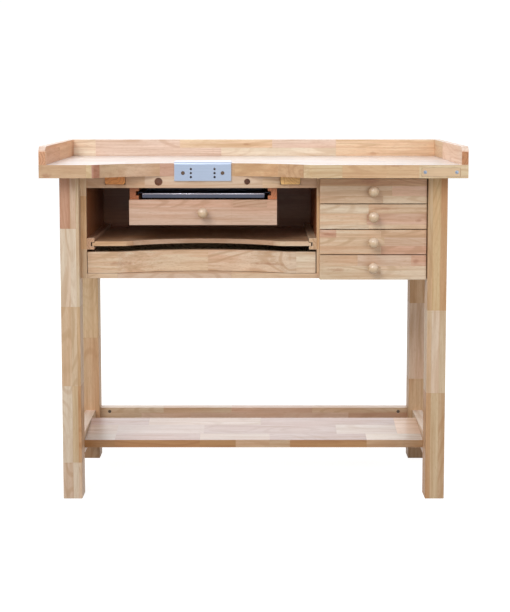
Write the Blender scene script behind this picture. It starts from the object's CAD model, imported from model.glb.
"""Looks for the jeweller's workbench: materials, turned knobs, screws, lining, studio and camera.

Lengths are in metres in the part's own frame: X to the right, Y to the back, Z up.
"""

import math

import bmesh
import bpy
from mathutils import Matrix, Vector


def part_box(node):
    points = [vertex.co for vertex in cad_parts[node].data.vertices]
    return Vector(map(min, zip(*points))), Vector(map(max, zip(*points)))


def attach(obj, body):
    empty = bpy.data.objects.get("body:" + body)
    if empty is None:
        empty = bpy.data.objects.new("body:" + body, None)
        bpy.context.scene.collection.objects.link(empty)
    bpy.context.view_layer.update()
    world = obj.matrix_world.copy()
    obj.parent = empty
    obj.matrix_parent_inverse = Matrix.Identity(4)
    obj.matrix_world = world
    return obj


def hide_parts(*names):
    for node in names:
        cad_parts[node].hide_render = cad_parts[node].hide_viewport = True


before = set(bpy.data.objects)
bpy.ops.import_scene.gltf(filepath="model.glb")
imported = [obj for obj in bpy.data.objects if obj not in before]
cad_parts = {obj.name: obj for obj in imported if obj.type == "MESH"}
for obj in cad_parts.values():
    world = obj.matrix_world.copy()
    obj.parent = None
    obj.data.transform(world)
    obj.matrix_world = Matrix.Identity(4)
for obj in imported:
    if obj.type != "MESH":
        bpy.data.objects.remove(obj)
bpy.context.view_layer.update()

# ---------------------------------------------------------------- camera and light

CAMERA_PLACE = Vector((0.007, -3.383, 1.067))
CAMERA_PITCH = math.radians(5.1)
CAMERA_LENS = 72.16
CAMERA_SHIFT = (-0.0021, -0.165)
CAMERA_REACH = 100.0
BACKDROP_STRENGTH = 1.04
SKY_STRENGTH = 0.34
FLOOR_SIZE = 60.0
FLOOR_GLOW = 0.88
FLOOR_TONES = (0.35, 0.37)

# Soft lights: place, point aimed at, size and power.
SOFT_LIGHTS = {
    "key_light": ((-2.4, -4.0, 4.4), (0.0, 0.0, 0.6), 3.4, 215.0),
    "fill_light": ((2.4, -4.6, 1.6), (0.0, 0.0, 0.4), 2.6, 52.0),
    "back_light": ((-0.4, 3.4, 3.4), (0.0, 0.0, 0.6), 3.0, 62.0),
    "side_light": ((4.6, 0.9, 2.0), (0.3, 0.0, 0.5), 3.0, 36.0),
}

# ---------------------------------------------------------------- wood layout

# Directions of a board's grain, width and thickness.
LENGTHWISE = "XZY"  # an upright board that runs along the bench
FLAT = "XYZ"  # a lying board that runs along the bench
DEEP = "YZX"  # an upright board that runs to the back
DEEP_FLAT = "YXZ"
STANDING = "ZXY"  # a leg
STANDING_DEEP = "ZYX"  # an upright panel seen from the side


def srgb(red, green, blue):
    """A linear colour from its 8-bit display values."""
    def linear(value):
        share = value / 255
        if share <= 0.04045:
            return share / 12.92
        return ((share + 0.055) / 1.055) ** 2.4
    return (linear(red), linear(green), linear(blue), 1.0)


WHITE = (1.0, 1.0, 1.0, 1.0)
CREAM = srgb(219, 203, 178)
PALE = srgb(213, 190, 160)
TAN = srgb(205, 176, 144)
GOLD = srgb(206, 168, 124)
ROSE = srgb(202, 163, 140)
BLUSH = srgb(210, 180, 157)
RUSSET = srgb(182, 138, 110)
HONEY = srgb(226, 162, 92)
SAND = srgb(231, 196, 154)
AMBER = srgb(200, 160, 118)
OLIVE = srgb(209, 183, 142)
BRICK = srgb(172, 112, 78)
EVEN = srgb(208, 181, 152)
RUST = srgb(192, 126, 84)

FROST = srgb(233, 231, 233)
MILK = srgb(229, 225, 224)
SHELL = srgb(226, 218, 218)
IVORY = srgb(235, 218, 194)
MELON = srgb(228, 201, 182)
WHEAT = srgb(232, 205, 172)
CLAY = srgb(230, 182, 144)
CLAY_ROSE = srgb(220, 168, 132)
TERRACOTTA = srgb(204, 160, 128)
END_GRAIN = srgb(222, 184, 160)
SUNLIT = srgb(250, 218, 194)
FAWN = srgb(196, 161, 124)
SORREL = srgb(197, 152, 127)
OAT = srgb(224, 206, 184)
ASH_PINK = srgb(184, 164, 156)
ASH = srgb(190, 174, 164)
ASH_MAUVE = srgb(176, 154, 148)
ASH_WHITE = srgb(206, 193, 182)
STRAW = srgb(211, 185, 150)
BISCUIT = srgb(204, 172, 138)
TOAST = srgb(200, 158, 118)
MUSHROOM = srgb(214, 188, 164)
SHADOWED = srgb(174, 144, 116)
LEMON = srgb(246, 214, 148)
BLOOM = srgb(204, 169, 149)
FLAX = srgb(214, 189, 164)
COPPER = srgb(214, 148, 106)
OCHRE = srgb(180, 132, 82)

PALE_STEEL = srgb(164, 176, 196)
BRIGHT_STEEL = srgb(172, 182, 202)
DARK_STEEL = srgb(86, 90, 104)
WARM_STEEL = srgb(184, 160, 132)
LIP_STEEL = srgb(238, 238, 250)
DULL_BRONZE = srgb(104, 86, 74)
PLATE_SCREW_STEEL = srgb(134, 144, 160)
ZINC = srgb(168, 180, 200)
AGED_ZINC = srgb(104, 92, 80)

MIXED = (BLUSH, TAN, PALE, CREAM, ROSE, PALE, GOLD)
WARM = (TAN, ROSE, GOLD, PALE, TAN)

# On each side the tones of the arm rest, the hanger and the shelf runner.
SLIDER_TONES = {"left": (HONEY, RUST, BLUSH), "right": (LEMON, COPPER, CREAM)}
DIVIDER_LEVELS = (1, 2, 3)

# A board's staves: strips across its width, each with its lower edge, and along each strip
# the blocks with their start and tone.
SLAB_TOP_STAVES = [
    (-0.26, [(-0.56, FROST), (-0.30, SHELL), (0.06, MILK), (0.34, FROST)]),
    (-0.205, [(-0.56, MILK), (-0.39, FROST), (0.16, SHELL), (0.44, MILK)]),
    (-0.15, [(-0.56, FROST), (-0.34, MILK), (-0.05, SHELL), (0.12, FROST), (0.37, MILK)]),
    (-0.10, [(-0.56, MILK), (-0.33, SHELL), (0.02, FROST), (0.28, SHELL)]),
    (-0.045, [(-0.56, SHELL), (-0.12, FROST), (0.19, MILK), (0.45, FROST)]),
    (0.01, [(-0.56, FROST), (-0.41, MILK), (-0.05, SHELL), (0.33, FROST)]),
    (0.07, [(-0.56, MILK), (-0.24, SHELL), (0.14, MILK), (0.40, SHELL)]),
    (0.13, [(-0.56, SHELL), (-0.36, MILK), (0.05, FROST), (0.26, MILK)]),
    (0.19, [(-0.56, FROST), (-0.15, SHELL), (0.22, FROST), (0.48, MILK)]),
]
SLAB_EDGE_STAVES = [
    (-0.26, [(-0.56, FAWN), (-0.429, OLIVE), (-0.417, BRICK), (-0.396, FAWN), (0.127, OLIVE),
             (0.227, GOLD), (0.42, OLIVE)]),
    (-0.235, [(-0.56, FAWN), (-0.396, FAWN), (-0.249, SORREL), (-0.205, AMBER), (-0.05, GOLD),
              (0.06, AMBER), (0.127, OLIVE)]),
    (-0.16, [(-0.56, TAN), (-0.20, PALE), (0.13, FAWN), (0.37, TAN)]),
]
BACK_GALLERY_STAVES = [
    (0.88, [(-0.56, IVORY), (-0.470, MELON), (-0.10, IVORY), (0.240, WHEAT)]),
    (0.914, [(-0.56, IVORY), (-0.470, MELON), (-0.22, WHEAT), (0.05, MELON), (0.240, WHEAT)]),
]
LEFT_LEG_STAVES = [
    (-0.51, [(-0.01, MUSHROOM), (0.096, OAT), (0.302, PALE), (0.515, OAT), (0.721, SORREL)]),
    (-0.478, [(-0.01, OAT), (0.096, STRAW), (0.302, PALE), (0.515, OAT), (0.721, MUSHROOM)]),
    (-0.463, [(-0.01, OAT), (0.096, TOAST), (0.302, STRAW), (0.515, PALE), (0.721, PALE)]),
]
RIGHT_LEG_STAVES = [
    (0.45, [(-0.01, TOAST), (0.285, PALE), (0.501, STRAW)]),
    (0.467, [(-0.01, STRAW), (0.285, OAT), (0.501, OLIVE)]),
    (0.488, [(-0.01, BISCUIT), (0.285, PALE), (0.501, TOAST)]),
]
REAR_LEG_STAVES = [
    (-0.51, [(-0.01, SHADOWED), (0.09, BISCUIT), (0.36, STRAW), (0.58, BISCUIT)]),
    (0.40, [(-0.01, SHADOWED), (0.09, BISCUIT), (0.234, MUSHROOM), (0.463, BISCUIT)]),
]
TRAY_FRONT_STAVES = [
    (0.59, [(-0.45, PALE), (-0.123, FLAX), (0.11, CREAM)]),
]
CENTRE_FRONT_STAVES = [
    (0.72, [(-0.34, BLOOM), (-0.058, BLOOM)]),
    (0.773, [(-0.34, BLOOM), (-0.058, RUSSET), (0.035, BLOOM)]),
]
SIDE_FRONT_STAVES = {
    1: [
        (0.78, [(0.16, TAN), (0.335, PALE)]),
        (0.806, [(0.16, TAN), (0.36, BLUSH)]),
        (0.832, [(0.16, OCHRE), (0.36, OCHRE)]),
    ],
    2: [
        (0.715, [(0.16, CREAM), (0.30, PALE)]),
        (0.731, [(0.16, PALE), (0.295, ROSE)]),
        (0.760, [(0.16, CREAM), (0.30, TAN)]),
    ],
    3: [
        (0.645, [(0.16, TAN), (0.33, ROSE)]),
        (0.675, [(0.16, PALE), (0.34, BLUSH)]),
        (0.697, [(0.16, ROSE), (0.215, PALE), (0.33, TAN)]),
    ],
    4: [
        (0.58, [(0.16, PALE), (0.33, CREAM)]),
        (0.622, [(0.16, TAN), (0.27, BLUSH), (0.41, ROSE)]),
    ],
}
APRON_STAVES = [
    (0.82, [(-0.45, FAWN), (-0.29, FLAX), (0.02, STRAW), (0.09, FAWN)]),
]
FOOT_REST_TOP_STAVES = [
    (-0.10, [(-0.50, ASH), (-0.385, ASH_MAUVE), (-0.15, ASH), (0.04, ASH_MAUVE),
             (0.31, ASH_WHITE)]),
    (-0.035, [(-0.50, ASH), (-0.385, ASH_PINK), (-0.14, ASH_MAUVE), (0.23, ASH), (0.40, BLUSH)]),
    (0.025, [(-0.50, ASH_MAUVE), (-0.30, ASH), (0.02, ASH_MAUVE), (0.40, BLUSH)]),
]
FOOT_REST_EDGE_STAVES = [
    (-0.10, [(-0.50, OCHRE), (-0.385, OCHRE), (-0.05, BISCUIT), (0.10, OCHRE), (0.31, FAWN)]),
]
PANEL_STAVES = [
    (-0.18, [(0.57, WHEAT), (0.66, SAND), (0.80, WHEAT)]),
    (-0.165, [(0.57, TAN), (0.66, BLUSH), (0.79, TAN)]),
    (-0.11, [(0.57, PALE), (0.71, TAN), (0.83, ROSE)]),
    (-0.05, [(0.57, ROSE), (0.63, TAN), (0.77, PALE)]),
    (0.01, [(0.57, TAN), (0.74, PALE)]),
    (0.07, [(0.57, PALE), (0.68, ROSE), (0.81, TAN)]),
    (0.13, [(0.57, BLUSH), (0.78, TAN)]),
]
REAR_STRETCHER_STAVES = [
    (0.08, [(-0.46, TAN), (-0.335, BLUSH), (-0.19, ROSE), (0.28, RUSSET)]),
    (0.13, [(-0.46, PALE), (-0.27, TAN), (-0.07, ROSE), (0.17, TAN)]),
]

# ---------------------------------------------------------------- node helpers


class Tree:
    """Shorthand for building one node tree."""

    def __init__(self, tree):
        self.tree = tree

    def add(self, kind, values=None, **settings):
        """A node with its settings, and its inputs set to numbers or linked to sockets."""
        made = self.tree.nodes.new(kind)
        for name, value in settings.items():
            setattr(made, name, value)
        self.fill(made, values or {})
        return made

    def fill(self, node, values):
        """Sets a node's inputs to numbers, or links them to sockets."""
        for key, value in values.items():
            if isinstance(value, bpy.types.NodeSocket):
                self.tree.links.new(value, node.inputs[key])
            else:
                node.inputs[key].default_value = value

    def math(self, operation, *values, clamp=False):
        inputs = dict(enumerate(values))
        return self.add("ShaderNodeMath", inputs, operation=operation, use_clamp=clamp).outputs[0]

    def vector(self, operation, *values):
        inputs = dict(enumerate(values))
        return self.add("ShaderNodeVectorMath", inputs, operation=operation).outputs[0]

    def combine(self, x, y, z):
        return self.add("ShaderNodeCombineXYZ", {"X": x, "Y": y, "Z": z}).outputs[0]

    def split(self, vector):
        return self.add("ShaderNodeSeparateXYZ", {"Vector": vector}).outputs

    def noise(self, vector, scale=1.0, detail=0.0, roughness=0.5, distortion=0.0):
        values = {
            "Vector": vector, "Scale": scale, "Detail": detail,
            "Roughness": roughness, "Distortion": distortion,
        }
        return self.add("ShaderNodeTexNoise", values).outputs["Fac"]

    def remap(self, value, low, high, to_low=0.0, to_high=1.0, smooth=False):
        values = {
            "Value": value, "From Min": low, "From Max": high, "To Min": to_low, "To Max": to_high,
        }
        kind = "SMOOTHSTEP" if smooth else "LINEAR"
        return self.add("ShaderNodeMapRange", values, interpolation_type=kind).outputs["Result"]

    def mix(self, share, first, second):
        values = {0: share, 6: first, 7: second}
        return self.add("ShaderNodeMix", values, data_type="RGBA").outputs[2]

    def steps(self, value, stops):
        """A colour that changes at once at each (position, colour) stop, in rising order."""
        made = self.add("ShaderNodeValToRGB", {"Fac": value})
        ramp = made.color_ramp
        ramp.interpolation = "CONSTANT"
        while len(ramp.elements) > 1:
            ramp.elements.remove(ramp.elements[-1])
        ramp.elements[0].position = stops[0][0]
        ramp.elements[0].color = stops[0][1]
        for position, color in stops[1:]:
            ramp.elements.new(position).color = color
        return made.outputs["Color"]

    def total(self, values):
        whole = values[0]
        for value in values[1:]:
            whole = self.math("ADD", whole, value)
        return whole


def new_group(name, inputs, outputs):
    """An empty node group. Inputs and outputs are (name, kind) with kind Float, Vector or Color."""
    tree = bpy.data.node_groups.new(name, "ShaderNodeTree")
    for label, kind in inputs:
        tree.interface.new_socket(label, in_out="INPUT", socket_type=f"NodeSocket{kind}")
    for label, kind in outputs:
        tree.interface.new_socket(label, in_out="OUTPUT", socket_type=f"NodeSocket{kind}")
    group = Tree(tree)
    return group, group.add("NodeGroupInput").outputs, group.add("NodeGroupOutput").inputs


# ---------------------------------------------------------------- wood groups


# Multipliers of a block's tone.
DARK_GRAIN = (0.76, 0.62, 0.50)
LIGHT_GRAIN = (1.10, 1.12, 1.15)
ROSY_GRAIN = (1.02, 0.88, 0.82)
END_DARK = (0.62, 0.44, 0.32)
END_LIGHT = (0.96, 0.80, 0.66)

# How far one seed moves the pattern, along the grain, across it and through the board.
SEED_STEP = (7.1, 3.7, 11.3)
# Radians of the growth rings' waves over the range of the noise that bends them.
RING_PHASE = 115.0
END_RING_PHASE = 95.0
JOINT_SHADE = 0.42  # of the way to the dark grain's tone


def make_grain_group():
    """Grain, pores, end grain and glue lines on a block's tone.

    The vector runs along the grain, across the face and through the board.
    """
    group, given, result = new_group(
        "wood_grain",
        [("Vector", "Vector"), ("Tone", "Color"), ("Seed", "Float"), ("Joint", "Float"),
         ("End", "Float"), ("Contrast", "Float")],
        [("Color", "Color"), ("Roughness", "Float"), ("Height", "Float")],
    )
    offset = group.combine(*(group.math("MULTIPLY", given["Seed"], step) for step in SEED_STEP))
    place = group.vector("ADD", given["Vector"], offset)

    def stretched(along, across):
        return group.vector("MULTIPLY", place, (along, across, across))

    drift = group.noise(stretched(2.1, 10.0), detail=1.0, distortion=0.4)
    wave = group.math("SINE", group.math("MULTIPLY", drift, RING_PHASE))
    rings = group.remap(wave, 0.1, 1.0, smooth=True)
    ring_share = group.remap(group.noise(stretched(1.9, 6.0)), 0.38, 0.56)
    rings = group.math("MULTIPLY", rings, ring_share)
    streaks = group.noise(stretched(3.2, 85.0), detail=4.0, roughness=0.65)
    fibres = group.noise(stretched(16.0, 620.0), detail=2.0)
    dashes = group.remap(group.noise(stretched(75.0, 900.0)), 0.62, 0.72)
    clouds = group.noise(stretched(2.4, 9.0), detail=1.0)

    dark = group.vector("MULTIPLY", given["Tone"], DARK_GRAIN)
    light = group.vector("MULTIPLY", given["Tone"], LIGHT_GRAIN)
    rosy = group.vector("MULTIPLY", given["Tone"], ROSY_GRAIN)

    def share(mask, amount):
        weighed = group.math("MULTIPLY", mask, amount)
        return group.math("MULTIPLY", weighed, given["Contrast"], clamp=True)

    color = group.mix(share(group.remap(clouds, 0.45, 0.62), 0.75), given["Tone"], rosy)
    color = group.mix(share(group.remap(streaks, 0.50, 0.68), 0.62), color, dark)
    color = group.mix(share(group.remap(streaks, 0.50, 0.34), 0.80), color, light)
    color = group.mix(share(rings, 0.46), color, dark)
    color = group.mix(share(group.remap(fibres, 0.50, 0.75), 0.30), color, dark)
    color = group.mix(share(dashes, 0.35), color, dark)

    end_place = group.vector("MULTIPLY", place, (40.0, 420.0, 420.0))
    end_pores = group.remap(group.noise(end_place, detail=2.0), 0.40, 0.66)
    years = group.noise(group.vector("MULTIPLY", place, (1.0, 14.0, 14.0)), detail=0.5)
    year_wave = group.math("SINE", group.math("MULTIPLY", years, END_RING_PHASE))
    year_rings = group.remap(year_wave, 0.0, 1.0, smooth=True)
    end_dark = group.vector("MULTIPLY", given["Tone"], END_DARK)
    end_light = group.vector("MULTIPLY", given["Tone"], END_LIGHT)
    end_marks = group.math(
        "MAXIMUM", group.math("MULTIPLY", end_pores, 0.5), group.math("MULTIPLY", year_rings, 0.75),
    )
    end_color = group.mix(end_marks, end_light, end_dark)
    color = group.mix(given["End"], color, end_color)
    color = group.mix(group.math("MULTIPLY", given["Joint"], JOINT_SHADE), color, dark)

    rough = group.total([
        group.remap(streaks, 0.3, 0.7, 0.34, 0.44),
        group.math("MULTIPLY", dashes, 0.08),
        group.math("MULTIPLY", given["End"], 0.16),
    ])
    height = group.total([
        group.math("MULTIPLY", fibres, 0.30),
        group.math("MULTIPLY", streaks, 0.22),
        group.math("MULTIPLY", dashes, -0.5),
        group.math("MULTIPLY", given["Joint"], -0.6),
        group.math("MULTIPLY", group.math("MULTIPLY", end_pores, given["End"]), -0.5),
    ])
    group.tree.links.new(color, result["Color"])
    group.tree.links.new(rough, result["Roughness"])
    group.tree.links.new(height, result["Height"])
    return group.tree


GLUE_LINE = 0.0007
UNEVENNESS = 0.55  # of the strips' widths and the blocks' lengths
STRIP_SHIFT = 37.0  # moves each strip's blocks against its neighbours'


def make_stave_group():
    """Glued-up strips of unequal width, of blocks of unequal length with random values."""
    group, given, result = new_group(
        "random_staves",
        [("Vector", "Vector"), ("Strip width", "Float"), ("Block length", "Float"),
         ("Seed", "Float")],
        [("Random", "Float"), ("Seed", "Float"), ("Joint", "Float")],
    )
    along, across, _through = group.split(given["Vector"])

    def cells(position):
        values = {"W": position, "Scale": 1.0, "Randomness": UNEVENNESS}
        nearest, edge = (
            group.add("ShaderNodeTexVoronoi", values, feature=feature, voronoi_dimensions="1D")
            for feature in ("F1", "DISTANCE_TO_EDGE")
        )
        return group.split(nearest.outputs["Color"]), edge.outputs["Distance"]

    def line(distance, size):
        real = group.math("MULTIPLY", distance, size)
        return group.remap(real, GLUE_LINE, GLUE_LINE / 3)

    width, length = given["Strip width"], given["Block length"]
    strip_at = group.math("ADD", group.math("DIVIDE", across, width), given["Seed"])
    strip, strip_edge = cells(strip_at)
    shift = group.math("MULTIPLY", strip[0], STRIP_SHIFT)
    block_at = group.math("ADD", group.math("DIVIDE", along, length), shift)
    block, block_edge = cells(block_at)
    joint = group.math("MAXIMUM", line(strip_edge, width), line(block_edge, length))
    group.tree.links.new(block[0], result["Random"])
    group.tree.links.new(group.math("ADD", block[1], strip[1]), result["Seed"])
    group.tree.links.new(joint, result["Joint"])
    return group.tree


GRAIN_GROUP = make_grain_group()
STAVE_GROUP = make_stave_group()

# ---------------------------------------------------------------- wood materials


def new_material(name):
    material = bpy.data.materials.new(name)
    material.use_nodes = True
    tree = Tree(material.node_tree)
    shader = material.node_tree.nodes["Principled BSDF"]
    return material, tree, shader


END_FACING = (0.955, 0.985)  # how squarely a face cuts the grain before it shows as end grain


def board_vector(tree, directions):
    """Object coordinates turned: X along the grain, Y across the face and Z through the board."""
    here = tree.add("ShaderNodeTexCoord").outputs["Object"]
    parts = tree.split(here)
    return tree.combine(*(parts["XYZ".index(letter)] for letter in directions))


def end_mask(tree, directions):
    """One where the surface cuts across the grain."""
    normal = tree.split(tree.add("ShaderNodeTexCoord").outputs["Normal"])
    facing = tree.math("ABSOLUTE", normal["XYZ".index(directions[0])])
    return tree.remap(facing, *END_FACING)


def random_blocks(tree, vector, palette, strip_width, block_length, seed):
    """Tone, seed and glue lines of blocks laid at random, with the palette's tones."""
    values = {
        "Vector": vector, "Strip width": strip_width, "Block length": block_length, "Seed": seed,
    }
    staves = tree.add("ShaderNodeGroup", values, node_tree=STAVE_GROUP).outputs
    stops = [(index / len(palette), tone) for index, tone in enumerate(palette)]
    return tree.steps(staves["Random"], stops), staves["Seed"], staves["Joint"]


STAVE_SPAN = 1.2  # longer than any board
TONE_MARKS = (91.0, 57.0)  # spread the tones' red and blue into seeds


def chosen_blocks(tree, vector, staves, seed):
    """Tone, seed and glue lines of blocks laid out by hand: see the stave lists."""
    along, across, _through = tree.split(vector)
    low = min(blocks[0][0] for _edge, blocks in staves)
    share = tree.math("DIVIDE", tree.math("SUBTRACT", along, low), STAVE_SPAN)
    tone = None
    joints = []
    strip_number = seed
    for index, (edge, blocks) in enumerate(staves):
        stops = [((start - low) / STAVE_SPAN, color) for start, color in blocks]
        strip_tone = tree.steps(share, stops)
        past = tree.math("GREATER_THAN", across, edge)
        inside = past
        if index + 1 < len(staves):
            before_next = tree.math("LESS_THAN", across, staves[index + 1][0])
            inside = tree.math("MULTIPLY", past, before_next)
        for start, _color in blocks[1:]:
            near = tree.math("COMPARE", along, start, GLUE_LINE / 2)
            joints.append(tree.math("MULTIPLY", near, inside))
        strip_number = tree.math("ADD", strip_number, past)
        if tone is None:
            tone = strip_tone
        else:
            tone = tree.mix(past, tone, strip_tone)
            joints.append(tree.math("COMPARE", across, edge, GLUE_LINE / 2))
    joint = tree.total(joints) if joints else 0.0
    red, _green, blue = tree.split(tone)
    red_mark, blue_mark = (tree.math("MULTIPLY", *pair) for pair in zip((red, blue), TONE_MARKS))
    mark = tree.combine(red_mark, blue_mark, strip_number)
    random = tree.add("ShaderNodeTexWhiteNoise", {"Vector": mark}).outputs["Value"]
    return tone, random, joint


# The space inside the cabinet, and the tint of the faces that line it.
LINED_HALF_WIDTH = 0.4535
LINED_FROM = (-0.1685, -0.158)
LINED_BACK = 0.2015
LINED_TINT = (0.49, 0.27, 0.17)

CREST_TONE = srgb(236, 222, 212)
CREST_RISE = (0.05, 0.5)  # how far a face turns up before it takes the crest's tone
UP_ENOUGH = 0.5
FORWARD_ENOUGH = -0.5

KNOT_TINT = (0.66, 0.46, 0.36)
KNOT_SHARE = 0.6
KNOT_RAGGED = 1.4
KNOT_RIM = (1.8, 0.9)

# Knots: X, Z, half the length and half the height.
SLAB_KNOTS = [(-0.532, 0.863, 0.016, 0.008), (0.36, 0.888, 0.03, 0.003)]
GALLERY_KNOTS = [(0.352, 0.897, 0.020, 0.006), (-0.02, 0.924, 0.015, 0.004)]
SIDE_FRONT_KNOTS = {
    1: [(0.305, 0.846, 0.030, 0.013)],
    2: [(0.345, 0.772, 0.040, 0.004), (0.432, 0.742, 0.010, 0.006)],
    3: [(0.20, 0.706, 0.022, 0.005)],
    4: [(0.22, 0.612, 0.030, 0.006), (0.425, 0.634, 0.012, 0.008)],
}
TRAY_KNOTS = [(-0.36, 0.625, 0.050, 0.006), (0.04, 0.622, 0.060, 0.004)]


def inside_mask(tree):
    """One on the faces that line the cabinet, which are seasoned to a redder brown."""
    x, y, _z = tree.split(tree.add("ShaderNodeTexCoord").outputs["Object"])
    shell = tree.math("LESS_THAN", tree.math("ABSOLUTE", x), LINED_HALF_WIDTH)
    behind_front = tree.math("MULTIPLY", shell, tree.remap(y, *LINED_FROM))
    return tree.math("MULTIPLY", behind_front, tree.math("LESS_THAN", y, LINED_BACK))


def upward_share(tree):
    """How squarely a face looks up."""
    return tree.split(tree.add("ShaderNodeTexCoord").outputs["Normal"])[2]


def knot_mask(tree, knots):
    """Rises to one at each knot on the faces turned to the front."""
    coordinates = tree.add("ShaderNodeTexCoord").outputs
    x, _y, z = tree.split(coordinates["Object"])
    forward = tree.math("LESS_THAN", tree.split(coordinates["Normal"])[1], FORWARD_ENOUGH)
    rough_rim = tree.noise(tree.combine(x, 0.0, z), scale=90.0, detail=3.0)
    ragged = tree.math("MULTIPLY", rough_rim, KNOT_RAGGED)
    masks = []
    for knot_x, knot_z, half_long, half_tall in knots:
        across = tree.math("DIVIDE", tree.math("SUBTRACT", x, knot_x), half_long)
        up = tree.math("DIVIDE", tree.math("SUBTRACT", z, knot_z), half_tall)
        squares = (tree.math("POWER", part, 2.0) for part in (across, up))
        far = tree.math("SQRT", tree.math("ADD", *squares))
        masks.append(tree.remap(tree.math("ADD", far, ragged), *KNOT_RIM, smooth=True))
    return tree.math("MULTIPLY", tree.total(masks), forward, clamp=True)


WOOD_IOR = 1.45
WOOD_BUMP = {"Strength": 0.25, "Distance": 0.0004}
HAZE_SPREAD = 0.3


def wood(name, directions, palette=MIXED, staves=None, strip_width=0.05, block_length=0.3, seed=0.0,
         contrast=1.0, even=0.35, lined=0.0, edge_staves=None, crest=0.0, end_tone=None,
         coat=0.35, coat_rough=0.28, shine=0.5, haze=0.0, knots=()):
    """Lacquered, finger-jointed wood for one kind of board.

    even draws the blocks' tones together, and lined is how far the faces inside the cabinet are
    seasoned. edge_staves are for the faces of a lying board that don't look up, crest whitens the
    faces that do, and end_tone is the tone of the cut ends. haze is the lacquer's pale bloom at low
    angles, and knots are dark spots on the faces turned to the front.
    """
    material, tree, shader = new_material(name)
    vector = board_vector(tree, directions)
    if staves:
        tone, block_seed, joint = chosen_blocks(tree, vector, staves, seed)
    else:
        tone, block_seed, joint = random_blocks(
            tree, vector, palette, strip_width, block_length, seed,
        )
    tone = tree.mix(even, tone, EVEN)
    if lined:
        seasoned = tree.vector("MULTIPLY", tone, LINED_TINT)
        tone = tree.mix(tree.math("MULTIPLY", inside_mask(tree), lined), tone, seasoned)
    if edge_staves:
        edge_tone, edge_seed, edge_joint = chosen_blocks(tree, vector, edge_staves, seed)
        bare = tree.math("LESS_THAN", upward_share(tree), UP_ENOUGH)
        tone = tree.mix(bare, tone, edge_tone)
        block_seed = tree.math("ADD", block_seed, tree.math("MULTIPLY", bare, edge_seed))
        joint = tree.remap(bare, 0.0, 1.0, joint, edge_joint)
    if knots:
        share = tree.math("MULTIPLY", knot_mask(tree, knots), KNOT_SHARE)
        tone = tree.mix(share, tone, tree.vector("MULTIPLY", tone, KNOT_TINT))
    if crest:
        turned_up = tree.remap(upward_share(tree), *CREST_RISE)
        tone = tree.mix(tree.math("MULTIPLY", turned_up, crest), tone, CREST_TONE)
    ends = end_mask(tree, directions)
    if end_tone:
        tone = tree.mix(ends, tone, end_tone)
    values = {
        "Vector": vector, "Tone": tone, "Seed": block_seed, "Joint": joint, "End": ends,
        "Contrast": contrast,
    }
    grain = tree.add("ShaderNodeGroup", values, node_tree=GRAIN_GROUP).outputs
    bump = tree.add("ShaderNodeBump", {"Height": grain["Height"], **WOOD_BUMP})
    tree.fill(shader, {
        "Base Color": grain["Color"], "Roughness": grain["Roughness"],
        "Normal": bump.outputs["Normal"], "Coat Weight": coat, "Coat Roughness": coat_rough,
        "Sheen Weight": haze, "Sheen Roughness": HAZE_SPREAD, "Specular IOR Level": shine,
        "IOR": WOOD_IOR,
    })
    return material


# ---------------------------------------------------------------- other materials


BRUSH_LINES = (4.0, 900.0, 900.0)
METAL_BUMP = {"Strength": 0.05, "Distance": 0.0002}
METAL_CREST_RISE = (0.05, 0.85)
DULLING = 0.86


def metal(name, color, low_rough, high_rough, crest=None):
    """Brushed metal with streaks along X. crest is its tone where it bends back at the top."""
    material, tree, shader = new_material(name)
    here = tree.add("ShaderNodeTexCoord").outputs["Object"]
    lines = tree.noise(tree.vector("MULTIPLY", here, BRUSH_LINES), detail=2.0)
    smudges = tree.noise(here, scale=14.0, detail=2.0)
    mixed = tree.math("ADD", tree.math("MULTIPLY", lines, 0.7), tree.math("MULTIPLY", smudges, 0.3))
    dull = tuple(channel * DULLING for channel in color[:3]) + (1.0,)
    tone = tree.mix(tree.remap(mixed, 0.35, 0.7), color, dull)
    if crest:
        tone = tree.mix(tree.remap(upward_share(tree), *METAL_CREST_RISE), tone, crest)
    bump = tree.add("ShaderNodeBump", {"Height": lines, **METAL_BUMP})
    tree.fill(shader, {
        "Base Color": tone, "Roughness": tree.remap(mixed, 0.3, 0.7, low_rough, high_rough),
        "Normal": bump.outputs["Normal"], "Metallic": 1.0,
    })
    return material


LEATHER_TONES = (srgb(18, 23, 38), srgb(26, 32, 50))
LEATHER_ROUGH = (0.62, 0.78)
LEATHER_SHINE = 0.12
LEATHER_BUMP = {"Strength": 0.4, "Distance": 0.0004}


def leather(name):
    """Blue-black leather with a pebbled grain and faint creases."""
    material, tree, shader = new_material(name)
    here = tree.add("ShaderNodeTexCoord").outputs["Object"]
    pebbles = tree.add(
        "ShaderNodeTexVoronoi", {"Vector": here, "Scale": 650.0}, feature="SMOOTH_F1",
    ).outputs["Distance"]
    creases = tree.noise(here, scale=7.0, detail=3.0, distortion=0.6)
    color = tree.mix(tree.remap(creases, 0.35, 0.7), *LEATHER_TONES)
    folds = tree.math("MULTIPLY", creases, 0.5)
    height = tree.math("ADD", tree.math("MULTIPLY", pebbles, 0.7), folds)
    bump = tree.add("ShaderNodeBump", {"Height": height, **LEATHER_BUMP})
    tree.fill(shader, {
        "Base Color": color, "Roughness": tree.remap(pebbles, 0.0, 0.8, *LEATHER_ROUGH),
        "Normal": bump.outputs["Normal"], "Specular IOR Level": LEATHER_SHINE,
    })
    return material


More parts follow.
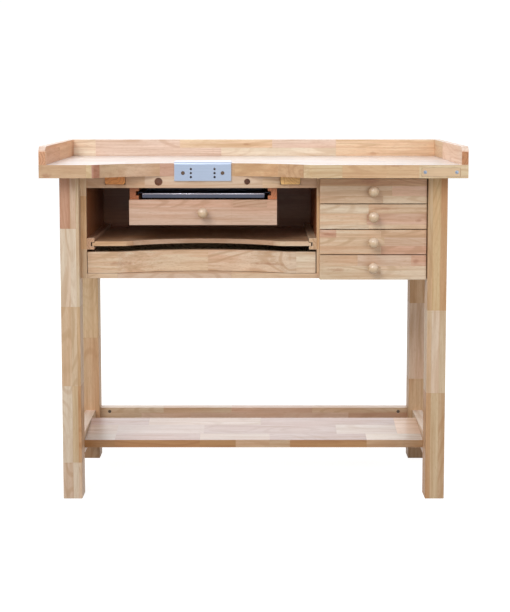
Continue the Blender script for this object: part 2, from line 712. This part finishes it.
def floor_material():
    """A pale floor that shows white and throws little light back up."""
    material, tree, shader = new_material("studio_floor")
    here = tree.add("ShaderNodeTexCoord").outputs["Object"]
    mottle = tree.noise(here, scale=3.0, detail=2.0)
    tone = tree.remap(mottle, 0.3, 0.7, *FLOOR_TONES)
    diffuse = tree.add("ShaderNodeLightPath").outputs["Is Diffuse Ray"]
    tree.fill(shader, {
        "Base Color": tree.combine(tone, tone, tone), "Roughness": 0.9, "Specular IOR Level": 0.1,
        "Emission Strength": tree.remap(diffuse, 0.0, 1.0, FLOOR_GLOW, 0.0),
        "Emission Color": WHITE,
    })
    return material


# ---------------------------------------------------------------- carried-over CAD nodes


def dress(node, material):
    """Gives a CAD node its material."""
    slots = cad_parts[node].data.materials
    slots.clear()
    slots.append(material)


WOOD_EDGE = 0.0009
METAL_EDGE = 0.0005
EDGE_SEGMENTS = 3
SHARP_ANGLE = math.radians(35)
FLAT_ANGLE = math.radians(0.5)
WELD_DISTANCE = 0.00001
FACE_WEIGHT = 90
METAL_NODES = (
    "bench_pin_holder", "holder_screw_left", "holder_screw_right", "filings_tray", "makers_plate",
)


def ease_edges(node):
    """Rounds a CAD node's sharp edges by a modifier, and shades its curves smooth."""
    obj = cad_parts[node]
    for polygon in obj.data.polygons:
        polygon.use_smooth = True
    weld = obj.modifiers.new("weld", "WELD")
    weld.merge_threshold = WELD_DISTANCE
    flatten = obj.modifiers.new("flatten", "DECIMATE")
    flatten.decimate_type = "DISSOLVE"
    flatten.angle_limit = FLAT_ANGLE
    bevel = obj.modifiers.new("eased edges", "BEVEL")
    bevel.width = METAL_EDGE if node in METAL_NODES else WOOD_EDGE
    bevel.segments = EDGE_SEGMENTS
    bevel.limit_method = "ANGLE"
    bevel.angle_limit = SHARP_ANGLE
    bevel.use_clamp_overlap = True
    even_out = obj.modifiers.new("flat faces", "WEIGHTED_NORMAL")
    even_out.weight = FACE_WEIGHT


def dress_frame():
    legs = {"front_left_leg": LEFT_LEG_STAVES, "front_right_leg": RIGHT_LEG_STAVES}
    for node, staves in legs.items():
        dress(node, wood(node, STANDING, staves=staves, seed=3.0, even=0.1, coat=0.0, shine=0.05))
    rear = wood(
        "rear_legs", STANDING, staves=REAR_LEG_STAVES, seed=2.0, even=0.0, coat=0.0, shine=0.05,
    )
    dress("rear_left_leg", rear)
    dress("rear_right_leg", rear)
    dress("tabletop", wood(
        "tabletop", FLAT, staves=SLAB_TOP_STAVES, edge_staves=SLAB_EDGE_STAVES, seed=1.0, even=0.0,
        contrast=1.15, knots=SLAB_KNOTS, coat=0.9, coat_rough=0.22, haze=0.3,
    ))
    dress("back_gallery", wood(
        "back_gallery", LENGTHWISE, staves=BACK_GALLERY_STAVES, seed=5.0, even=0.0, contrast=1.2,
        knots=GALLERY_KNOTS,
    ))
    dress("left_gallery", wood(
        "left_gallery", DEEP, palette=(CLAY, CLAY, CLAY_ROSE), strip_width=0.2, block_length=0.2,
        seed=7.0, even=0.0, crest=0.8, end_tone=END_GRAIN, coat=0.1, shine=0.15,
    ))
    dress("right_gallery", wood(
        "right_gallery", DEEP, palette=(SUNLIT, WHEAT), strip_width=0.2, block_length=0.3,
        seed=9.0, even=0.0, crest=0.6, end_tone=TERRACOTTA, coat=0.1, shine=0.15,
    ))
    side_stretcher = wood(
        "side_stretchers", DEEP, strip_width=0.035, block_length=0.25, seed=4.0, crest=0.7,
        coat=0.1, shine=0.2,
    )
    dress("left_stretcher", side_stretcher)
    dress("right_stretcher", side_stretcher)
    dress("rear_stretcher", wood(
        "rear_stretcher", LENGTHWISE, staves=REAR_STRETCHER_STAVES, seed=6.0, crest=0.5,
    ))
    dress("foot_rest", wood(
        "foot_rest", FLAT, staves=FOOT_REST_TOP_STAVES, edge_staves=FOOT_REST_EDGE_STAVES,
        seed=8.0, even=0.0, coat=0.5, coat_rough=0.24,
    ))


def dress_cabinet():
    dress("cabinet_bottom_board", wood(
        "bottom_board", FLAT, palette=(BLUSH, TAN, ROSE, PALE), strip_width=0.06, seed=12.0,
    ))
    panels = wood(
        "panels", STANDING_DEEP, staves=PANEL_STAVES, seed=13.0, even=0.1, lined=1.0, coat=0.1,
        shine=0.2,
    )
    for node in ("cabinet_left_panel", "cabinet_partition", "cabinet_right_panel"):
        dress(node, panels)
    dress("cabinet_back_panel", wood(
        "back_panel", LENGTHWISE, palette=WARM, strip_width=0.09, block_length=0.5, seed=14.0,
        lined=1.0, coat=0.1,
    ))
    ply = wood(
        "ply_sheets", FLAT, palette=(PALE, TAN), strip_width=0.4, block_length=1.5, seed=15.0,
        coat=0.1,
    )
    sheets = ["catch_tray_bottom", "centre_drawer_bottom"]
    sheets += [f"drawer_divider_{level}" for level in DIVIDER_LEVELS]
    sheets += [f"side_drawer_{number}_bottom" for number in SIDE_FRONT_STAVES]
    for node in sheets:
        dress(node, ply)
    dress("front_apron", wood(
        "front_apron", LENGTHWISE, staves=APRON_STAVES, seed=16.0, lined=1.0,
    ))


def dress_sliders():
    """The arm rests, the hangers and the shelf, with what they slide on."""
    guides = wood("arm_rest_guides", DEEP_FLAT, palette=(BLUSH, PALE, TAN), seed=18.0, lined=0.8)
    for side, (rest_tone, hanger_tone, runner_tone) in SLIDER_TONES.items():
        pieces = {
            f"{side}_arm_rest": wood(
                f"{side}_arm_rest", DEEP_FLAT, palette=(rest_tone,), seed=17.0, even=0.0,
            ),
            f"{side}_arm_rest_guide": guides,
            f"{side}_hanger": wood(
                f"{side}_hanger", DEEP, palette=(hanger_tone,), seed=19.0, even=0.0,
            ),
            f"{side}_shelf_runner": wood(
                f"{side}_runner", DEEP, palette=(runner_tone,), seed=26.0, lined=0.3,
            ),
        }
        for node, material in pieces.items():
            dress(node, material)
    dress("pull_out_shelf", wood(
        "pull_out_shelf", FLAT, palette=(TAN, GOLD, PALE, BLUSH), strip_width=0.07, seed=20.0,
        lined=0.45,
    ))


def dress_drawers():
    dress("catch_tray_front", wood(
        "catch_tray_front", LENGTHWISE, staves=TRAY_FRONT_STAVES, seed=21.0, contrast=1.5,
        knots=TRAY_KNOTS,
    ))
    dress("centre_drawer_front", wood(
        "centre_drawer_front", LENGTHWISE, staves=CENTRE_FRONT_STAVES, seed=22.0, even=0.3,
        contrast=1.3,
    ))
    boxes = wood(
        "drawer_boxes", DEEP, palette=(PALE, CREAM, BLUSH), strip_width=0.08, seed=23.0, coat=0.1,
    )
    dress("catch_tray_frame", boxes)
    dress("centre_drawer_box", boxes)
    for number, staves in SIDE_FRONT_STAVES.items():
        dress(f"side_drawer_{number}_front", wood(
            f"side_front_{number}", LENGTHWISE, staves=staves, seed=24.0 + number, even=0.3,
            contrast=1.4, knots=SIDE_FRONT_KNOTS[number],
        ))
        dress(f"side_drawer_{number}_box", boxes)


def dress_metal():
    screw_steel = metal("screw_steel", DULL_BRONZE, 0.3, 0.45)
    dress("bench_pin_holder", metal("holder_steel", PALE_STEEL, 0.30, 0.40, crest=BRIGHT_STEEL))
    dress("holder_screw_left", screw_steel)
    dress("holder_screw_right", screw_steel)
    dress("filings_tray", metal("tray_steel", DARK_STEEL, 0.3, 0.42))
    dress("makers_plate", metal("plate_metal", WARM_STEEL, 0.5, 0.64))


# ---------------------------------------------------------------- mesh helpers


def mesh_object(name, bm, material):
    mesh = bpy.data.meshes.new(name)
    bmesh.ops.recalc_face_normals(bm, faces=bm.faces)
    bm.to_mesh(mesh)
    bm.free()
    for polygon in mesh.polygons:
        polygon.use_smooth = True
    mesh.materials.append(material)
    obj = bpy.data.objects.new(name, mesh)
    bpy.context.scene.collection.objects.link(obj)
    return obj


def circle(radius):
    """The same radius at every angle."""
    return lambda _angle: radius


def hexagon(radius):
    """Radius of a hexagon whose flats lie at the given distance."""
    sector = math.radians(60)
    return lambda angle: radius / math.cos((angle + sector / 2) % sector - sector / 2)


def cross(radius, waist):
    """Radius of a rounded cross recess."""
    return lambda angle: waist + (radius - waist) * abs(math.cos(2 * angle)) ** 3


def turned(name, rings, place, facing, material, sides):
    """A closed body of loops round an axis: rings are (radius rule, distance along the axis)."""
    bm = bmesh.new()
    turn = Vector((0, 0, 1)).rotation_difference(Vector(facing)).to_matrix().to_4x4()
    matrix = Matrix.Translation(place) @ turn
    loops = []
    for rule, along in rings:
        loop = []
        for step in range(sides):
            angle = 2 * math.pi * step / sides
            radius = rule(angle)
            spot = Vector((radius * math.cos(angle), radius * math.sin(angle), along))
            loop.append(bm.verts.new(matrix @ spot))
        loops.append(loop)
    for first, second in zip(loops, loops[1:]):
        for step in range(sides):
            after = (step + 1) % sides
            bm.faces.new((first[step], first[after], second[after], second[step]))
    bm.faces.new(loops[0])
    bm.faces.new(loops[-1])
    return mesh_object(name, bm, material)


# ---------------------------------------------------------------- knobs

KNOB_SIDES = 48
KNOB_BALL_STEPS = 20
KNOB_BALL = 0.014
KNOB_STANDOFF = 0.017
KNOB_TIP = 0.0004
KNOB_NECK = 0.0071
# The foot ring and the cove above it: radius, distance along the axis.
KNOB_FOOT = [
    (0.0078, 0.0), (0.0090, 0.0004), (0.0090, 0.0026), (0.0084, 0.0030), (0.0074, 0.0033),
    (0.0069, 0.0042),
]


def knob_rings():
    """A ball on a coved neck with a small foot ring."""
    rings = list(KNOB_FOOT)
    meet = math.asin(KNOB_NECK / KNOB_BALL)
    for step in range(KNOB_BALL_STEPS):
        angle = (math.pi - meet) * (1 - step / KNOB_BALL_STEPS)
        rings.append((KNOB_BALL * math.sin(angle), KNOB_STANDOFF + KNOB_BALL * math.cos(angle)))
    rings.append((KNOB_TIP, KNOB_STANDOFF + KNOB_BALL))
    return [(circle(radius), along) for radius, along in rings]


def add_knobs():
    material = wood(
        "knob_wood", LENGTHWISE, palette=(STRAW,), strip_width=0.3, block_length=0.9, seed=31.0,
        contrast=0.6, even=0.0, crest=0.4, coat=0.9, coat_rough=0.14,
    )
    drawers = ["centre_drawer"] + [f"side_drawer_{number}" for number in SIDE_FRONT_STAVES]
    for drawer in drawers:
        low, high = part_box(f"{drawer}_knob")
        seat = Vector(((low.x + high.x) / 2, high.y, (low.z + high.z) / 2))
        name = f"{drawer}_turned_knob"
        knob = turned(name, knob_rings(), seat, (0, -1, 0), material, KNOB_SIDES)
        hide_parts(f"{drawer}_knob")
        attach(knob, drawer)


# ---------------------------------------------------------------- tray lining and filings tray lip

LINING_COLUMNS = 96
LINING_ROWS = 48
LINING_SKIN = 0.0012
LINING_WAVE = 0.0003
LINING_CLEAR = 0.0004  # kept free round the sheet


def front_edge(node):
    """The front outline of a CAD board as a rule from X to Y, read from its corners."""
    corners = {}
    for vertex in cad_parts[node].data.vertices:
        x, y = round(vertex.co.x, 5), vertex.co.y
        corners[x] = min(y, corners.get(x, y))
    places = sorted(corners)

    def edge(x):
        after = next((place for place in places if place >= x), places[-1])
        before = max((place for place in places if place <= x), default=places[0])
        if after == before:
            return corners[before]
        share = (x - before) / (after - before)
        return corners[before] + share * (corners[after] - corners[before])

    return edge


def gentle_wave(x, y):
    """Height of the sheet's faint waviness, from -1 to 1."""
    return math.sin(23 * x + 9 * y) * math.cos(17 * y - 6 * x)


def sheet_grid(bm, left, right, back, edge, base):
    """One face of the sheet, as columns of vertices from the curved front edge to the back."""
    grid = []
    for column in range(LINING_COLUMNS + 1):
        x = left + (right - left) * column / LINING_COLUMNS
        front = edge(x) + LINING_CLEAR
        strip = []
        for row in range(LINING_ROWS + 1):
            y = front + (back - front) * row / LINING_ROWS
            strip.append(bm.verts.new((x, y, base + LINING_WAVE * gentle_wave(x, y))))
        grid.append(strip)
    for first, second in zip(grid, grid[1:]):
        for row in range(LINING_ROWS):
            bm.faces.new((first[row], second[row], second[row + 1], first[row + 1]))
    return grid


def add_lining():
    """A leather sheet laid on the catch tray's floor, cut to its curved front."""
    node = "catch_tray_lining"
    low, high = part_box(node)
    edge = front_edge(node)
    left, right = low.x + LINING_CLEAR, high.x - LINING_CLEAR
    back = high.y - LINING_CLEAR
    under_base = low.z + LINING_WAVE
    bm = bmesh.new()
    top = rim(sheet_grid(bm, left, right, back, edge, under_base + LINING_SKIN))
    under = rim(sheet_grid(bm, left, right, back, edge, under_base))
    for step, vertex in enumerate(top):
        after = (step + 1) % len(top)
        bm.faces.new((vertex, top[after], under[after], under[step]))
    lining = mesh_object("catch_tray_leather", bm, leather("lining_leather"))
    step_long = (right - left) / LINING_COLUMNS
    middles = (left + step_long * (column + 0.5) for column in range(LINING_COLUMNS))
    cut_area = step_long * sum(back - edge(x) - LINING_CLEAR for x in middles)
    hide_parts(node)
    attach(lining, "catch_tray")


def rim(grid):
    """The vertices round the edge of a grid, in order."""
    front = [strip[0] for strip in grid]
    right = grid[-1][1:]
    back = [strip[-1] for strip in reversed(grid[:-1])]
    left = grid[0][-2:0:-1]
    return front + right + back + left


LIP_SIDES = 20
LIP_RADIUS = 0.0017
LIP_END_RADIUS = 0.00119
LIP_ROUNDING = 0.0004
LIP_INSET = 0.0144
LIP_DROP = 0.0022
LIP_STAND_OUT = 0.0009


def add_tray_lip(material):
    """The rolled lip along the top of the filings tray's front."""
    low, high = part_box("filings_tray")
    length = high.x - low.x - 2 * LIP_INSET
    rings = [
        (circle(LIP_END_RADIUS), 0.0), (circle(LIP_RADIUS), LIP_ROUNDING),
        (circle(LIP_RADIUS), length - LIP_ROUNDING), (circle(LIP_END_RADIUS), length),
    ]
    place = (low.x + LIP_INSET, low.y + LIP_RADIUS - LIP_STAND_OUT, high.z - LIP_DROP)
    lip = turned("filings_tray_lip", rings, place, (1, 0, 0), material, LIP_SIDES)
    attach(lip, "filings_tray")


# ---------------------------------------------------------------- screws, bolts and nuts


DOME_STEPS = 5
DOME_ANGLE = math.radians(68)
DOME_FOOT = 0.12  # share of a head's height below its dome
SEAT_SHARE = 0.9  # of a head's radius where it meets its seat

PLATE_SCREW_INSET = 0.009
PLATE_SCREW_SIDES = 32
PLATE_SCREW_SUNK = 0.0001
PLATE_SCREW = {"radius": 0.0046, "height": 0.0011, "recess": cross(0.0016, 0.0005), "deep": 0.0006}

BOLT_SIDES = 36
BOLT = {"radius": 0.0065, "height": 0.0034, "recess": hexagon(0.0021), "deep": 0.0018}
BOLT_FROM_EDGE = 0.012

NUT_SIDES = 32
NUT_FROM_END = 0.027
NUT_SLOT = cross(0.0034, 0.0006)
NUT_RINGS = [
    (circle(0.0046), -0.016), (circle(0.0046), -0.0008), (circle(0.0042), -0.0003),
    (NUT_SLOT, -0.0003), (NUT_SLOT, -0.0014),
]


def head_rings(radius, height, recess, deep):
    """A domed screw head with a recess, from its seat to the recess floor."""
    def rise(angle):
        return height * (DOME_FOOT + (1 - DOME_FOOT) * math.sin(angle))

    rings = [(circle(radius * SEAT_SHARE), 0.0), (circle(radius), rise(0.0))]
    for step in range(1, DOME_STEPS + 1):
        angle = DOME_ANGLE * step / DOME_STEPS
        rings.append((circle(radius * math.cos(angle)), rise(angle)))
    rings.append((recess, rise(DOME_ANGLE)))
    rings.append((recess, rise(DOME_ANGLE) - deep))
    return rings


def fasten(piece):
    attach(piece, "frame")


def add_plate_screws(material):
    low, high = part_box("makers_plate")
    y, z = low.y + PLATE_SCREW_SUNK, (low.z + high.z) / 2
    for side, x in (("left", low.x + PLATE_SCREW_INSET), ("right", high.x - PLATE_SCREW_INSET)):
        rings = head_rings(**PLATE_SCREW)
        name = f"plate_screw_{side}"
        fasten(turned(name, rings, (x, y, z), (0, -1, 0), material, PLATE_SCREW_SIDES))


def add_bolts_and_nuts(bolt_material, nut_material):
    """Socket bolts through the rear legs, and the barrel nuts that take them."""
    low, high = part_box("rear_stretcher")
    middle = (low.y + high.y) / 2
    levels = (("upper", high.z - BOLT_FROM_EDGE), ("lower", low.z + BOLT_FROM_EDGE))
    for side, outward in (("left", -1), ("right", 1)):
        leg_low, leg_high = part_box(f"rear_{side}_leg")
        outer = leg_low.x if side == "left" else leg_high.x
        end = low.x if side == "left" else high.x
        nut_x = end - outward * NUT_FROM_END
        for level, z in levels:
            bolt = turned(
                f"bolt_{side}_{level}", head_rings(**BOLT), (outer, middle, z), (outward, 0, 0),
                bolt_material, BOLT_SIDES,
            )
            nut = turned(
                f"barrel_nut_{side}_{level}", NUT_RINGS, (nut_x, low.y, z), (0, -1, 0),
                nut_material, NUT_SIDES,
            )
            fasten(bolt)
            fasten(nut)


# ---------------------------------------------------------------- studio


def add_studio():
    bm = bmesh.new()
    bmesh.ops.create_grid(bm, x_segments=8, y_segments=8, size=FLOOR_SIZE / 2)
    floor = mesh_object("studio_floor", bm, floor_material())
    bpy.context.scene.world = studio_world()
    for name, (place, target, size, power) in SOFT_LIGHTS.items():
        add_soft_light(name, place, target, size, power)


def studio_world():
    """White where it is seen or mirrored, and dimmer as a source of soft light."""
    world = bpy.data.worlds.new("studio")
    world.use_nodes = True
    tree = Tree(world.node_tree)
    diffuse = tree.add("ShaderNodeLightPath").outputs["Is Diffuse Ray"]
    strength = tree.remap(diffuse, 0.0, 1.0, BACKDROP_STRENGTH, SKY_STRENGTH)
    background = world.node_tree.nodes["Background"]
    background.inputs["Color"].default_value = WHITE
    world.node_tree.links.new(strength, background.inputs["Strength"])
    return world


def add_soft_light(name, place, target, size, power):
    data = bpy.data.lights.new(name, "AREA")
    data.shape = "SQUARE"
    data.size = size
    data.energy = power
    light = bpy.data.objects.new(name, data)
    light.location = place
    aim = Vector(target) - Vector(place)
    light.rotation_euler = aim.to_track_quat("-Z", "Y").to_euler()
    bpy.context.scene.collection.objects.link(light)


def add_camera():
    data = bpy.data.cameras.new("camera")
    data.lens = CAMERA_LENS
    data.shift_x, data.shift_y = CAMERA_SHIFT
    data.clip_end = CAMERA_REACH
    camera = bpy.data.objects.new("camera", data)
    camera.location = CAMERA_PLACE
    camera.rotation_euler = (math.pi / 2 - CAMERA_PITCH, 0.0, 0.0)
    bpy.context.scene.collection.objects.link(camera)
    bpy.context.scene.camera = camera
    bpy.context.scene.view_settings.view_transform = "Standard"


# ---------------------------------------------------------------- making


add_camera()
add_studio()
dress_frame()
dress_cabinet()
dress_sliders()
dress_drawers()
dress_metal()
for node_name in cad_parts:
    ease_edges(node_name)
add_lining()
add_tray_lip(metal("lip_steel", LIP_STEEL, 0.2, 0.3))
add_knobs()
add_plate_screws(metal("plate_screw_steel", PLATE_SCREW_STEEL, 0.22, 0.36))
add_bolts_and_nuts(
    metal("fastener_zinc", ZINC, 0.2, 0.34), metal("aged_zinc", AGED_ZINC, 0.35, 0.5),
)
